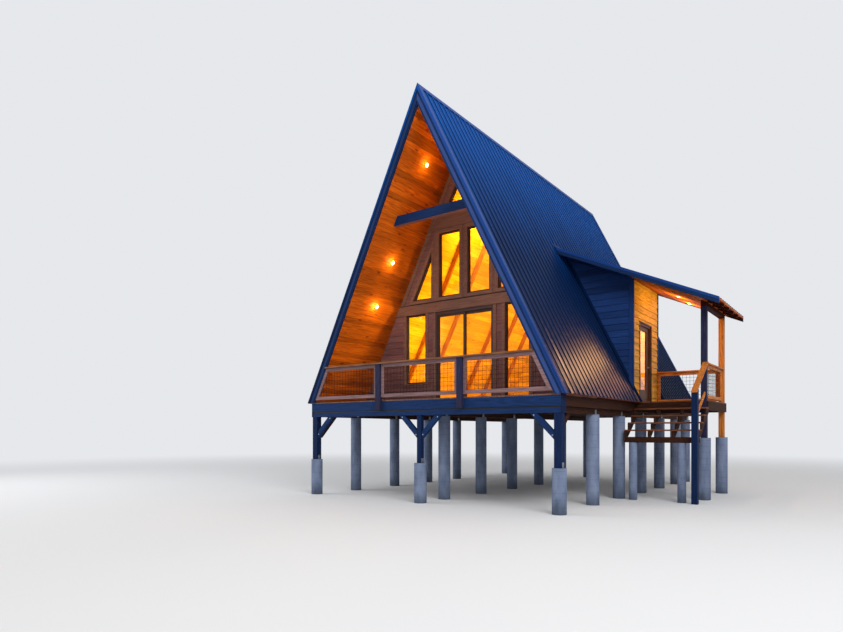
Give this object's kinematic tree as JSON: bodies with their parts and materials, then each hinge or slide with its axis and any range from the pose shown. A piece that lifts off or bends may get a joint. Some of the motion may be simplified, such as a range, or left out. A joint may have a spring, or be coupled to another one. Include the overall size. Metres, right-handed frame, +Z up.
{
  "type": "a-frame cabin",
  "caption": "Steep A-frame cabin on round piers, with a covered front deck, a glazed gable wall, a side dormer with an entry porch, and a stair.",
  "frame": {"origin": "middle of the cabin's base in plan, at the height of the pier feet", "axes": "+Z up, +Y from the front deck towards the back wall, +X towards the side with the entry porch"},
  "size_m": [9.606, 11.27, 10.09],
  "materials": {
    "metal_roof": "ribbed sheet with a satin navy paint",
    "navy_paint": "rough-sawn boards with a matt navy stain",
    "slate_paint": "lapped boards with a matt dark slate-blue stain",
    "umber_paint": "boards with a satin dark brown paint",
    "pine_boards": "tongued pine boards with a clear oil",
    "deck_timber": "weathered brown timber",
    "concrete": "cast concrete with faint form marks",
    "window_glass": "clear panes with warm light behind",
    "brushed_metal": "satin steel"
  },
  "bodies": {
    "cabin": {"roof_left": "navy_paint", "roof_right_front": "navy_paint", "roof_right_upper": "navy_paint", "roof_right_back": "navy_paint", "roofing": "metal_roof", "roof_flashing": "metal_roof", "roof_lining": "pine_boards", "rake_boards": "navy_paint", "inner_rafters": "pine_boards", "collar_beam": "navy_paint", "house_floor": "pine_boards", "deck_boards": "deck_timber", "deck_joists": "deck_timber", "rim_boards": "navy_paint", "beams": "navy_paint", "piers": "concrete", "front_posts": "navy_paint", "knee_braces": "navy_paint", "front_rail": "deck_timber", "rail_panel_left": "deck_timber", "rail_panel_middle": "deck_timber", "rail_panel_right": "deck_timber", "front_wall_left": "umber_paint", "front_wall_right": "umber_paint", "front_wall_upper": "umber_paint", "back_wall": "umber_paint", "trim_boards": "umber_paint", "window_frames": "umber_paint", "window_panes": "window_glass", "slider_frame": "umber_paint", "dormer_flank_front": "slate_paint", "dormer_flank_back": "slate_paint", "entry_wall_front": "umber_paint", "entry_wall_back": "umber_paint", "entry_wall_head": "umber_paint", "entry_frame": "umber_paint", "dormer_roof": "pine_boards", "dormer_roofing": "metal_roof", "rafter_tails": "pine_boards", "porch_deck": "pine_boards", "porch_frame": "deck_timber", "porch_joists": "deck_timber", "porch_posts": "navy_paint", "porch_beams": "deck_timber", "porch_rail_back": "pine_boards", "porch_rail_side": "pine_boards", "stair_treads": "pine_boards", "stair_stringers": "deck_timber", "stair_rail": "pine_boards"},
    "sliding_leaf": {"slider_leaf": "umber_paint", "slider_pane": "window_glass", "slider_handle": "brushed_metal"},
    "entry_leaf": {"entry_door": "umber_paint", "entry_pane": "window_glass", "entry_handle": "brushed_metal"}
  },
  "joints": [
    {"name": "sliding_door", "type": "slide", "parent": "cabin", "child": "sliding_leaf", "axis": [-1, 0, 0], "range_m": [0, 0.75]},
    {"name": "entry_door_hinge", "type": "hinge", "parent": "cabin", "child": "entry_leaf", "pos_m": [2.465, -0.1225, 3.51], "axis": [0, 0, 1], "range_deg": [0, 100]}
  ]
}
